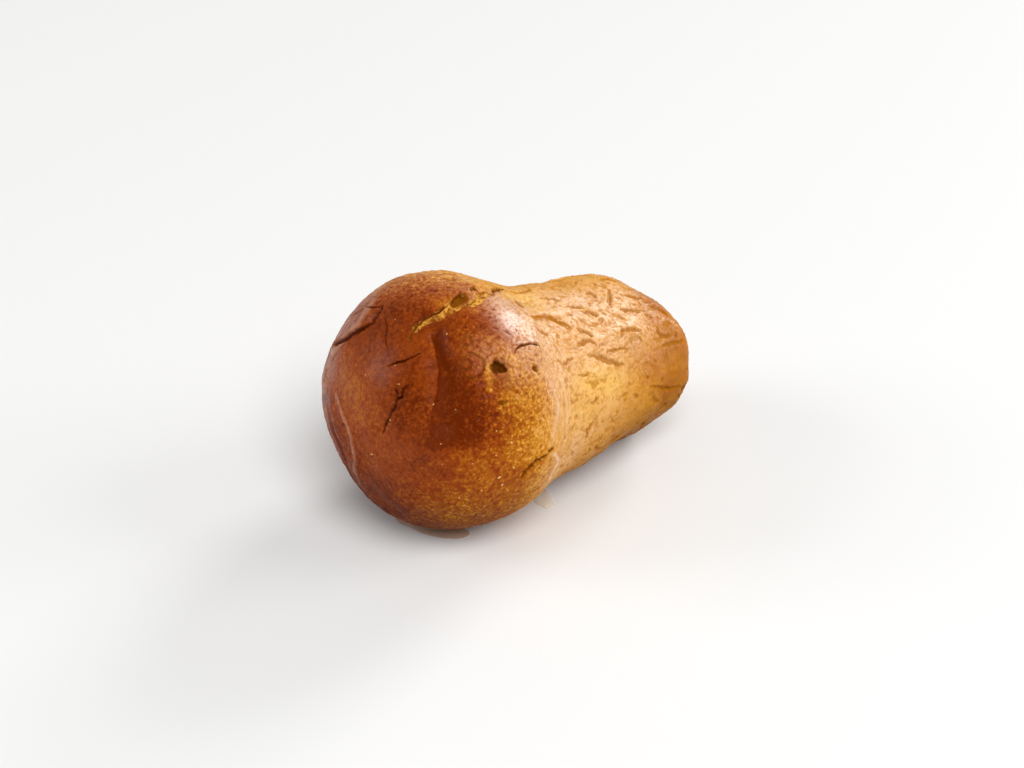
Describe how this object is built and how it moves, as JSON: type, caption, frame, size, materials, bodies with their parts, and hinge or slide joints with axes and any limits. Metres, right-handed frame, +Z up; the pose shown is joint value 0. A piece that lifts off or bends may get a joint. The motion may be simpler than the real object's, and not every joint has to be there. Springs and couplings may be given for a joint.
{
  "type": "rum baba",
  "caption": "Baked yeast cake with a round split head on a tapered stem, soaked in rum syrup, glazed and laid on its side.",
  "frame": {"origin": "centre of the box round the baba, at table level", "axes": "+Z up; the baba lies along X, with its round head towards -X and its small foot towards +X; -Y is the near side"},
  "size_m": [0.1124, 0.073, 0.0726],
  "materials": {
    "crust": "browned yeast crust soaked in syrup, dark red-brown and glossy on the head, golden on the stem"
  },
  "bodies": {
    "root": {"baba": "crust"}
  },
  "joints": []
}
